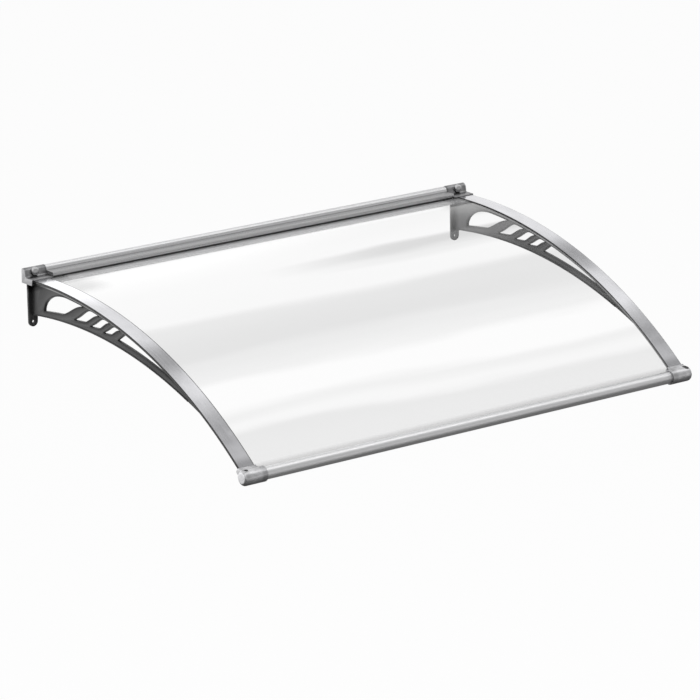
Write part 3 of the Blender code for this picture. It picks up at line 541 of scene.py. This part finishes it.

# %% [markdown]
# ## Their finish
#
# The skin of a cast cap comes first, in a lighter grey. The painted shade on the rim and round the screw is then
# multiplied over its colour, so the grain and the clouds still show through both.

# %% Front end cap finish
# Painted shade at the caps' inner and outer ends and on their undersides, painted light on the end faces
FRONT_CAP_SHADE_AND_LIGHT = [(0.694, 0.74), (0.702, 0.95), (0.730, 1.0), (0.744, 0.78), (0.7465, 0.82), (0.7480, 1.05)]
FRONT_CAP_SHADE = [(-0.3360, 0.28), (-0.3300, 0.55), (-0.3210, 1.0)]
# Painted shade on the rim of the round end faces, and in a ring round the right cap's screw
END_FACE_RIM_SHADE = [(0.0, 1.0), (0.0135, 1.0), (0.0150, 0.74), (0.0165, 0.82), (0.0180, 0.95)]
SCREW_SHADE_RING = [(0.0090, 0.10), (0.0115, 1.0)]
RING_SCALE = 30.0  # a ramp over the first 33 mm of a distance
front_cap_metal, cup, cup_shader, cup_colour = cast_skin(
    "satin_front_cap", (0.60, 0.68), (0.28, 0.36), FRONT_CAP_SHADE_AND_LIGHT, FRONT_CAP_SHADE
)
_, axis_y, axis_z = middle_of("front_bar")
painted_rim_shade = tones_over(cup, distance_from_bar(cup, axis_y, axis_z), END_FACE_RIM_SHADE, scale=RING_SCALE)
from_screw = distance_from(cup, middle_of("front_cap_screw_right"))
painted_screw_shade = tones_over(cup, from_screw, SCREW_SHADE_RING, scale=RING_SCALE)
cup.links.new(multiplied(cup, multiplied(cup, cup_colour, painted_rim_shade), painted_screw_shade), cup_shader.inputs["Base Color"])
print("front cap's finish has", len(cup.nodes), "nodes in all")

# %% [markdown]
# ## The rail's finish
#
# The same anodised aluminium, with a grain of die lines. A ramp over the height paints shade in a narrow band
# where the round back meets the flat ledge, a lighter shade below it, and a painted highlight on the crown, the
# lightest part.

# %% Rail finish
# Painted shade over the ledge and below it, painted highlight on the crown
RAIL_SHADE_AND_HIGHLIGHT = [
    (0.0000, 0.80),
    (0.0138, 0.80),
    (0.0150, 0.60),
    (0.0158, 0.56),
    (0.0161, 0.42),
    (0.0167, 0.52),
    (0.0178, 1.0),
    (0.0245, 1.0),
    (0.0290, 1.16),
]
rail_metal, rail_tree, rail_shader = new_material("satin_rail")
die_lines = stretched_noise(rail_tree, DIE_LINES)
_, _, rail_height = coordinates(rail_tree)
painted_rail_light = tones_over(rail_tree, rail_height, RAIL_SHADE_AND_HIGHLIGHT, scale=20.0)
anodised = shades(rail_tree, die_lines, 0.58, 0.66)
rail_tree.links.new(multiplied(rail_tree, anodised, painted_rail_light), rail_shader.inputs["Base Color"])
rail_tree.links.new(spread(rail_tree, die_lines, 0.24, 0.34), rail_shader.inputs["Roughness"])
rail_shader.inputs["Metallic"].default_value = 1.0
bumps(rail_tree, rail_shader, die_lines, strength=0.10, depth=0.0002)
print("tones over the rail's height:", len(RAIL_SHADE_AND_HIGHLIGHT))

# %% [markdown]
# ## Brushed stainless
#
# The strips are brushed along their length: a noise that is very fine across and long along the strip gives
# streaks in colour, gloss and relief. Handling leaves soft clouds in the brush. A ramp along the reach darkens the
# steel towards the front, a painted reflection with painted shade where the strip enters the front cap. The strips
# are darker towards the front in the photograph, and part of that may be a reflection: here the steel itself gets
# a darker tone there. The last millimetre of each long edge is painted black, a painted seal line with the shade
# of the gap along it. Thin black lines run along the strip's long edges, most likely sealant, so its last
# millimetre turns black.

# %% Brushed strip finish
# Painted reflection and painted shade: darker towards the front
STRIP_REFLECTION_AND_SHADE = [
    (0.00, 1.00),
    (0.45, 1.00),
    (0.62, 0.97),
    (0.67, 0.84),
    (0.70, 0.83),
    (0.735, 0.74),
    (0.765, 0.74),
    (0.795, 0.80),
    (0.82, 0.77),
    (0.85, 0.52),
    (0.88, 0.43),
    (0.905, 0.24),
    (0.93, 0.20),
]
# Painted black edges: a seal line with painted shade in the gap
EDGE_LINES_SEAL_AND_SHADE = [(0.6971, 0.0), (0.6975, 1.0), (0.7416, 1.0), (0.7420, 0.0)]
STREAKS = (1500.0, 5.0, 5.0)
HANDLED_PLACES = (16.0, 11.0, 11.0)
strip_metal, strip_tree, strip_shader = new_material("brushed_stainless")
streak = stretched_noise(strip_tree, STREAKS)
clouds = stretched_noise(strip_tree, HANDLED_PLACES, detail=3.0, roughness=0.55)
strip_x, strip_y, _ = coordinates(strip_tree)
painted_strip_reflection = tone_ramp(strip_tree, worked_out(strip_tree, "MULTIPLY", strip_y, -1.0), STRIP_REFLECTION_AND_SHADE)
steel = shades(strip_tree, streak, 0.66, 0.80)
clouded = multiplied(strip_tree, steel, shades(strip_tree, clouds, 0.88, 1.06))
off_middle = worked_out(strip_tree, "ABSOLUTE", strip_x)
bare = tones_over(strip_tree, off_middle, EDGE_LINES_SEAL_AND_SHADE, **NEAR_THE_ENDS)
black_to_full = shades(strip_tree, bare, 0.02, 1.0)
strip_colour = multiplied(strip_tree, multiplied(strip_tree, clouded, painted_strip_reflection), black_to_full)
strip_tree.links.new(strip_colour, strip_shader.inputs["Base Color"])
strip_tree.links.new(spread(strip_tree, streak, 0.12, 0.20), strip_shader.inputs["Roughness"])
strip_tree.links.new(bare, strip_shader.inputs["Metallic"])
bumps(strip_tree, strip_shader, streak, strength=0.12, depth=0.0001)
print("brushed strip has", len(strip_tree.nodes), "nodes")

# %% [markdown]
# ## The casting's finish
#
# The brackets are cast and painted dark grey. The edges of the flange and plate get a painted highlight, lighter
# than the web, and the raised rims round the windows get painted shade, darker. How far a point lies from the
# arm's middle plane tells these places apart. High up under the end cap a slanting ramp paints that corner nearly
# black, as painted shade.

# %% Bracket finish
# Painted highlight on the flange and plate edges, painted shade on the window rims
PAINTED_EDGE_LIGHT_AND_RIM_SHADE = [
    (0.0026, 0.085),
    (0.0028, 0.055),
    (0.0042, 0.050),
    (0.0060, 0.060),
    (0.0150, 0.070),
    (0.0157, 0.250),
]
# Painted shade high up under the end cap
SHADE_UNDER_CAP = [(-0.044, 1.0), (-0.034, 0.45), (-0.026, 0.10)]
SHADE_UNDER_CAP_SLANT = 0.35  # how steeply the painted shade's lower edge rises towards the front
ARM_X = 0.719  # how far the brackets' webs lie from the canopy's middle
SAND_GRAIN = (450.0, 450.0, 450.0)
THICK_AND_THIN = (9.0, 9.0, 9.0)
bracket_metal, casting, casting_shader = new_material("cast_bracket")
grain = stretched_noise(casting, SAND_GRAIN)
cloud = stretched_noise(casting, THICK_AND_THIN, detail=3.0, roughness=0.5)
casting_x, casting_y, casting_z = coordinates(casting)
from_arm = worked_out(casting, "SUBTRACT", worked_out(casting, "ABSOLUTE", casting_x), ARM_X)
off_plane = worked_out(casting, "ABSOLUTE", from_arm)
edge_light_and_rim_shade = tones_over(casting, off_plane, PAINTED_EDGE_LIGHT_AND_RIM_SHADE, scale=50.0)
uneven = multiplied(casting, edge_light_and_rim_shade, shades(casting, cloud, 0.86, 1.10))
under_cap = worked_out(casting, "ADD", casting_z, worked_out(casting, "MULTIPLY", casting_y, SHADE_UNDER_CAP_SLANT))
painted_shade_under_cap = tones_over(casting, under_cap, SHADE_UNDER_CAP, scale=15.0, shift=0.050)
casting.links.new(multiplied(casting, uneven, painted_shade_under_cap), casting_shader.inputs["Base Color"])
casting.links.new(spread(casting, grain, 0.34, 0.46), casting_shader.inputs["Roughness"])
casting_shader.inputs["Metallic"].default_value = 0.9
bumps(casting, casting_shader, grain, strength=0.15, depth=0.0003)
print("bracket paint has", len(casting.nodes), "nodes")

# %% [markdown]
# ## Clear polycarbonate
#
# Solid polycarbonate is clear, and glossy like still water: the flatter the view, the more it mirrors. Faint grey
# bands along the rail are painted reflections of a room: grey bands in its body that only dim what lies behind,
# with a clear gloss over them. The photograph shows faint grey bands in it along the rail, which may well be
# reflections of a room. So the picture is met from the camera's side, but the bands stay in place from every
# other side too. How dark the bands are goes into the body's Alpha. A ramp over the reach gives the places of the
# bands, and a noise that is long in the same direction makes their edges wander.

# %% Smoke bands
# Painted reflections: grey bands that dim what lies behind
PAINTED_REFLECTION_BANDS = [
    (0.000, 0.010),
    (0.070, 0.020),
    (0.110, 0.005),
    (0.170, 0.012),
    (0.230, 0.006),
    (0.430, 0.020),
    (0.480, 0.110),
    (0.580, 0.125),
    (0.620, 0.090),
    (0.665, 0.070),
    (0.705, 0.000),
    (0.765, 0.000),
    (0.795, 0.060),
    (0.825, 0.025),
    (0.852, 0.105),
    (0.950, 0.105),
]
PLASTIC_INDEX = 1.58
WANDER = (0.8, 7.0, 7.0)
WANDER_REACH = 0.020  # metres that a band strays to either side
clear, clear_tree, banded_body_shader = new_material("clear_polycarbonate")
banded_body_shader.inputs["IOR"].default_value = PLASTIC_INDEX
banded_body_shader.inputs["Roughness"].default_value = 0.05
wander = stretched_noise(clear_tree, WANDER, detail=3.0, roughness=0.55)
sheet_x, sheet_y, _ = coordinates(clear_tree)
sheet_reach = worked_out(clear_tree, "MULTIPLY", sheet_y, -1.0)
off_middle = worked_out(clear_tree, "ABSOLUTE", sheet_x)
strayed = spread(clear_tree, wander, -WANDER_REACH, WANDER_REACH)
wandering_reach = worked_out(clear_tree, "ADD", sheet_reach, strayed)
painted_reflection = tone_ramp(clear_tree, wandering_reach, PAINTED_REFLECTION_BANDS)
print("smoke bands:", len(PAINTED_REFLECTION_BANDS), "places along the reach")

# %% [markdown]
# ## Painted bands and shade on the sheet
#
# One more painted reflection band comes only towards the right edge. A thin grey line of painted shade lies at
# the front bar, and the two corners beside the wall are greyer. Wherever two of them meet, the stronger one wins,
# so they are joined by their maximum.

# %% Painted band, shade at the bar and greyer corners
# A painted reflection band towards the right edge
RIGHT_BAND_PLACES = [(0.262, 0.0), (0.286, 0.23), (0.308, 0.24), (0.345, 0.09), (0.385, 0.0)]
RIGHT_BAND_FADE = [(-0.25, 0.03), (0.30, 0.85), (0.70, 1.0)]
# Painted shade in a thin line at the front bar
SHADE_AT_THE_BAR = [(0.898, 0.0), (0.914, 0.27)]
GREYER_AT_THE_WALL = [(0.150, 0.27), (0.215, 0.0)]
GREYER_AT_THE_ENDS = [(0.560, 0.0), (0.660, 1.0)]
right_band_places = tone_ramp(clear_tree, wandering_reach, RIGHT_BAND_PLACES)
to_the_right = tones_over(clear_tree, sheet_x, RIGHT_BAND_FADE, shift=0.30)
painted_shade_at_bar = tone_ramp(clear_tree, sheet_reach, SHADE_AT_THE_BAR)
greyer_along = tone_ramp(clear_tree, sheet_reach, GREYER_AT_THE_WALL)
greyer_ends = tone_ramp(clear_tree, off_middle, GREYER_AT_THE_ENDS)
sheet_greying = worked_out(clear_tree, "MAXIMUM", painted_reflection, multiplied(clear_tree, right_band_places, to_the_right))
sheet_greying = worked_out(clear_tree, "MAXIMUM", sheet_greying, painted_shade_at_bar)
sheet_greying = worked_out(clear_tree, "MAXIMUM", sheet_greying, multiplied(clear_tree, greyer_along, greyer_ends))
print("clear sheet so far has", len(clear_tree.nodes), "nodes")

# %% [markdown]
# ## A pale band and tape
#
# A pale, dull band runs along the foot of the rail and ends before the end caps. It is painted light, where the
# rail's lower jaw shows through the sheet. The sawn edges under the cover strips are dark, and are taken as
# closed with black tape. Both hide what lies behind, so they go into the Alpha, and both have a colour of their
# own, so they go into the Base Color too.

# %% Pale band along the rail, tape on the edges
# Painted light where the rail's lower jaw shows through the sheet
PALE_BAND_ALONG_RAIL = [(0.050, 0.42), (0.062, 0.56), (0.082, 0.42), (0.092, 0.0)]
PALE_BAND_BETWEEN_CAPS = [(0.640, 1.0), (0.655, 0.0)]
PALE_BAND_TONES = [(0.084, 0.92), (0.094, 0.16)]  # pale on the band, dark in the painted reflection bands beyond it
tape_starts = sheet_high[0] - 0.0008
tape_is_full = sheet_high[0] - 0.0004
pale_along = tone_ramp(clear_tree, sheet_reach, PALE_BAND_ALONG_RAIL)
pale_between_caps = tone_ramp(clear_tree, off_middle, PALE_BAND_BETWEEN_CAPS)
pale_band = multiplied(clear_tree, pale_along, pale_between_caps)
pale_band_tone = tone_ramp(clear_tree, sheet_reach, PALE_BAND_TONES)
taped = tones_over(clear_tree, off_middle, [(tape_starts, 0.0), (tape_is_full, 1.0)], **NEAR_THE_ENDS)
hidden = worked_out(clear_tree, "MAXIMUM", worked_out(clear_tree, "MAXIMUM", sheet_greying, pale_band), taped)
tape_tone = shades(clear_tree, taped, 1.0, 0.03)
clear_tree.links.new(hidden, banded_body_shader.inputs["Alpha"])
clear_tree.links.new(multiplied(clear_tree, pale_band_tone, tape_tone), banded_body_shader.inputs["Base Color"])
print("tape starts at", round(tape_starts, 4), "m from the middle")

# %% [markdown]
# ## The gloss
#
# The Fresnel node knows how much a smooth face mirrors at each slope, from the plastic's real index of 1.58. Its
# third power keeps the gloss to flat views, and a gain lifts what that power makes small. It is on the outside
# faces only, since the inside of a thin sheet would mirror the same thing twice, and it is dulled close to the
# rail.

# %% Gloss over the smoke
GLOSS_ROUGHNESS = 0.035
GLOSS_GAIN = 20.0
FLAT_VIEW_POWER = 3.0
DULL_AT_THE_RAIL = [(0.106, 0.10), (0.120, 1.0)]
gloss = add_node(clear_tree, "ShaderNodeBsdfGlossy")
gloss.inputs["Roughness"].default_value = GLOSS_ROUGHNESS
mirror = add_node(clear_tree, "ShaderNodeFresnel")
mirror.inputs["IOR"].default_value = PLASTIC_INDEX
side_seen = add_node(clear_tree, "ShaderNodeNewGeometry")
outside = add_node(clear_tree, "ShaderNodeMapRange")
outside.inputs["To Min"].default_value = GLOSS_GAIN
outside.inputs["To Max"].default_value = 0.0
clear_tree.links.new(side_seen.outputs["Backfacing"], outside.inputs["Value"])
dull_at_rail = tone_ramp(clear_tree, sheet_reach, DULL_AT_THE_RAIL)
flat_views = worked_out(clear_tree, "POWER", mirror.outputs[0], FLAT_VIEW_POWER)
clean_outside = multiplied(clear_tree, outside.outputs["Result"], dull_at_rail)
amount = worked_out(clear_tree, "MULTIPLY", flat_views, clean_outside)
glazed = add_node(clear_tree, "ShaderNodeMixShader")
clear_tree.links.new(amount, glazed.inputs[0])
clear_tree.links.new(banded_body_shader.outputs[0], glazed.inputs[1])
clear_tree.links.new(gloss.outputs[0], glazed.inputs[2])
clear_tree.links.new(glazed.outputs[0], clear_tree.nodes["Material Output"].inputs["Surface"])
print("clear sheet has", len(clear_tree.nodes), "nodes")

# %% [markdown]
# ## Dressing the pieces
#
# Each kind of piece gets its finish. The table also lists each kind's material slot name, which is not put on the
# piece. The left and the right piece of a kind share one finish, because they came out of the same mould or off
# the same bar.

# %% Put the finishes on
LOOKS = {
    "bracket": (bracket_metal, "cast_bracket"),
    "rail_end_cap": (cap_metal, "cast_cap"),
    "front_end_cap": (front_cap_metal, "front_cap"),
    "cap_bolt": (bolt_metal, "bolt_steel"),
    "cap_washer": (rubber, "black_rubber"),
    "front_cap_screw": (screw_metal, "black_screw"),
    "arm_seal": (rubber, "black_rubber"),
    "wall_rail": (rail_metal, "rail_aluminium"),
    "front_bar": (bar_metal, "bar_aluminium"),
    "rail_upper_seal": (rubber, "black_rubber"),
    "rail_lower_seal": (rubber, "black_rubber"),
    "front_upper_seal": (rubber, "black_rubber"),
    "front_lower_seal": (rubber, "black_rubber"),
}


def paint(piece, finish):
    piece.data.materials.clear()
    piece.data.materials.append(finish)


for node, piece in finished.items():
    kind = node.replace("_left", "").replace("_right", "")
    finish, slot = LOOKS[kind]
    paint(piece, finish)
paint(sheet, clear)
for strip in strips.values():
    paint(strip, strip_metal)
print("finishes:", len(bpy.data.materials))

# %% [markdown]
# ## Studio
#
# The canopy hangs over a pale floor in a white room, as it would over a doorstep. To the camera, and in metal
# and clear plastic, floor and room are plain white. A fifth of the floor's look stays a real painted surface,
# so it keeps the canopy's shadow.

# %% Floor
def sees_background(tree):
    """1 for rays that show the background: straight from the camera, in gloss, or through the sheet."""
    path = add_node(tree, "ShaderNodeLightPath")
    seen_or_mirrored = worked_out(tree, "MAXIMUM", path.outputs["Is Camera Ray"], path.outputs["Is Glossy Ray"])
    return worked_out(tree, "MAXIMUM", seen_or_mirrored, path.outputs["Is Transmission Ray"])


FLOOR_LEVEL = -2.2
FLOOR_SIZE = 160.0
PLAIN_SHARE = 0.8  # of the floor, where it serves as background
PLAIN_GLOW = 1.06
pick_nothing()
bpy.ops.mesh.primitive_plane_add(size=FLOOR_SIZE, location=(0.0, 0.0, FLOOR_LEVEL))
floor = bpy.context.object
floor.name = "studio_floor"
floor_paint, floor_tree, floor_shader = new_material("pale_floor")
floor_shader.inputs["Base Color"].default_value = (0.85, 0.85, 0.85, 1.0)
floor_shader.inputs["Roughness"].default_value = 0.9
floor_shader.inputs["Specular IOR Level"].default_value = 0.0
glow_share = worked_out(floor_tree, "MULTIPLY", sees_background(floor_tree), PLAIN_SHARE)
glow = add_node(floor_tree, "ShaderNodeEmission")
glow.inputs["Strength"].default_value = PLAIN_GLOW
mix = add_node(floor_tree, "ShaderNodeMixShader")
floor_tree.links.new(glow_share, mix.inputs[0])
floor_tree.links.new(floor_shader.outputs[0], mix.inputs[1])
floor_tree.links.new(glow.outputs[0], mix.inputs[2])
floor_tree.links.new(mix.outputs[0], floor_tree.nodes["Material Output"].inputs["Surface"])
paint(floor, floor_paint)
print("floor at", FLOOR_LEVEL, "m")

# %% [markdown]
# ## The room's light
#
# The walls and the ceiling of the room are the world. They light the canopy evenly from all sides at a plain
# level, and the rays that show the background see them as pure white.

# %% White room
LIGHT_LEVEL = 0.72  # that falls on the canopy
WHITE_LEVEL = 1.0  # that the background shows
world = bpy.data.worlds.new("white_room")
bpy.context.scene.world = world
world.use_nodes = True
room = world.node_tree
background = room.nodes["Background"]
level = add_node(room, "ShaderNodeMapRange")
level.inputs["To Min"].default_value = LIGHT_LEVEL
level.inputs["To Max"].default_value = WHITE_LEVEL
room.links.new(sees_background(room), level.inputs["Value"])
room.links.new(level.outputs["Result"], background.inputs["Strength"])
background.inputs["Color"].default_value = (1.0, 1.0, 1.0, 1.0)
print("room's light level:", LIGHT_LEVEL)

# %% [markdown]
# ## Cards
#
# Polished metal in an all-white room looks flat. A product photographer hangs long cards above the set,
# parallel to the piece: a dark card draws a dark band in the metal, a bright one a highlight. Each card here
# is placed by the direction in which it is seen in the metal, 0 degrees in front, 90 overhead, 180 behind.

# %% Place a card
CARD_LENGTH = 40.0


def turned_card(name, seen_from, direction, distance, width, length, swing):
    """A card that faces the place it is seen from. Also gives the names of its own short and long axes."""
    angle = math.radians(direction)
    towards = Vector((0.0, -math.cos(angle), math.sin(angle)))
    pick_nothing()
    bpy.ops.mesh.primitive_plane_add(size=1.0, location=Vector(seen_from) + towards * distance)
    card = bpy.context.object
    card.name = name
    card.rotation_euler = (-towards).to_track_quat("Z", "X").to_euler()
    own_x = card.rotation_euler.to_matrix() @ Vector((1.0, 0.0, 0.0))
    long_in_x = abs(own_x.x) > 0.9
    card.scale = (length, width, 1.0) if long_in_x else (width, length, 1.0)
    card.rotation_euler.rotate_axis("Z", math.radians(swing))
    pick_only(card)
    bpy.ops.object.transform_apply(location=False, rotation=False, scale=True)
    return card, ("Y", "X") if long_in_x else ("X", "Y")


# %% [markdown]
# ## What a card shines like
#
# A card with a sharp edge draws a sharp edge in the metal, which the photograph doesn't show. So a card's level
# passes softly into plain white towards its long sides and over its last metre and a half at both ends. Only
# reflections see the cards: they cast no light and no shadow, and the camera looks through them.

# %% Hang a card
CARD_END_FADE = 1.5


def soft_step(tree, value, near, far, before, after):
    """One level up to a near distance, another one from a far distance on, and a soft passage between them."""
    step = add_node(tree, "ShaderNodeMapRange", interpolation_type="SMOOTHSTEP")
    step.inputs["From Min"].default_value = near
    step.inputs["From Max"].default_value = far
    step.inputs["To Min"].default_value = before
    step.inputs["To Max"].default_value = after
    tree.links.new(value, step.inputs["Value"])
    return step.outputs["Result"]


def hang_card(
    name, seen_from, direction, distance, width, level, fade_from=0.15, swing=0.0, length=CARD_LENGTH
):
    card, (across, along) = turned_card(name, seen_from, direction, distance, width, length, swing)
    finish, tree, _ = new_material(name)
    own = dict(zip("XYZ", coordinates(tree)))
    off_centre = worked_out(tree, "ABSOLUTE", own[across])
    from_middle = worked_out(tree, "ABSOLUTE", own[along])
    side_level = soft_step(tree, off_centre, width * fade_from, width / 2, level, 1.0)
    near_end = soft_step(tree, from_middle, length / 2 - CARD_END_FADE, length / 2, 0.0, 1.0)
    plain_at_ends = add_node(tree, "ShaderNodeMix")
    tree.links.new(near_end, plain_at_ends.inputs["Factor"])
    tree.links.new(side_level, plain_at_ends.inputs["A"])
    plain_at_ends.inputs["B"].default_value = 1.0
    shine = add_node(tree, "ShaderNodeEmission")
    tree.links.new(plain_at_ends.outputs["Result"], shine.inputs["Strength"])
    tree.links.new(shine.outputs[0], tree.nodes["Material Output"].inputs["Surface"])
    paint(card, finish)
    card.visible_camera = False
    card.visible_diffuse = False
    card.visible_transmission = False
    card.visible_shadow = False
    print(name, "at", [round(place, 2) for place in card.location])


# %% [markdown]
# ## The nine cards
#
# Three dark cards lie overhead: one for the dark bands in the sheet and the strips, and one each for the left and
# the right strip. Bright cards behind, above and over the bar give the rail's, the strips' and the bar's
# highlights, and grey ones in front and below give their lower sides some depth.

# %% Hang the cards
FRONT_BAR = (0.0, -0.93, -0.32)
BEFORE_THE_BAR = (0.0, -1.20, -0.32)
hang_card(
    "dark_card_high", (5.3, -0.52, -0.08), direction=118.6, distance=7.0, width=2.3, level=0.46, swing=-21.0
)
hang_card(
    "dark_card_left_strip", (-4.3, -0.81, -0.23), direction=92, distance=7.0, width=1.3, level=0.45, length=20.0
)
hang_card(
    "dark_card_right_strip", (15.3, -0.81, -0.23), direction=92, distance=7.0, width=1.3, level=0.35, length=20.0
)
hang_card(
    "bright_card_back", (-13.8, -0.20, -0.01), direction=172, distance=7.0, width=8.6, level=1.5, fade_from=0.28
)
hang_card("bright_card_top", (0.0, -0.71, -0.17), direction=104, distance=7.2, width=1.6, level=1.3)
hang_card("bright_card_bar", FRONT_BAR, direction=78, distance=7.2, width=2.9, level=1.8, fade_from=0.20)
hang_card("grey_card_front", FRONT_BAR, direction=28, distance=6.0, width=8.2, level=0.58, fade_from=0.28)
hang_card("dusk_card_front", FRONT_BAR, direction=-24, distance=4.0, width=2.8, level=0.36, fade_from=0.30)
hang_card("low_card", BEFORE_THE_BAR, direction=-90, distance=0.95, width=3.8, level=0.18, fade_from=0.36)

# %% [markdown]
# ## Key light
#
# One large soft box from the front left gives the brackets and caps a lighter side, as the photograph shows
# them. It stays out of the reflections, where only the cards are wanted.

# %% Key light
key_data = bpy.data.lights.new("soft_key", "AREA")
key_data.shape = "RECTANGLE"
key_data.size = 5.0
key_data.size_y = 4.0
key_data.energy = 150.0
key = bpy.data.objects.new("soft_key", key_data)
key.location = (-3.0, -4.0, 5.0)
key.rotation_euler = (Vector((0.0, -0.4, -0.1)) - key.location).to_track_quat("-Z", "Y").to_euler()
key.visible_glossy = False
bpy.context.scene.collection.objects.link(key)
print("key light:", key_data.energy, "W,", key_data.size, "x", key_data.size_y, "m")

# %% [markdown]
# ## Camera
#
# The photograph is taken with a long lens from the front left, a little above the canopy. Place, turn and
# lens were solved from the corners of the two brackets, the rail and the bar.

# %% Camera
lens = bpy.data.cameras.new("long_lens")
lens.lens = 234.5
lens.sensor_width = 36.0
lens.clip_end = 200.0
camera = bpy.data.objects.new("camera", lens)
camera.location = (-7.279, -9.429, 3.037)
camera.rotation_euler = (math.radians(74.24), 0.0, math.radians(-38.96))
bpy.context.scene.collection.objects.link(camera)
bpy.context.scene.camera = camera
bpy.context.scene.view_settings.view_transform = "Standard"
print("lens:", round(lens.lens, 1), "mm")
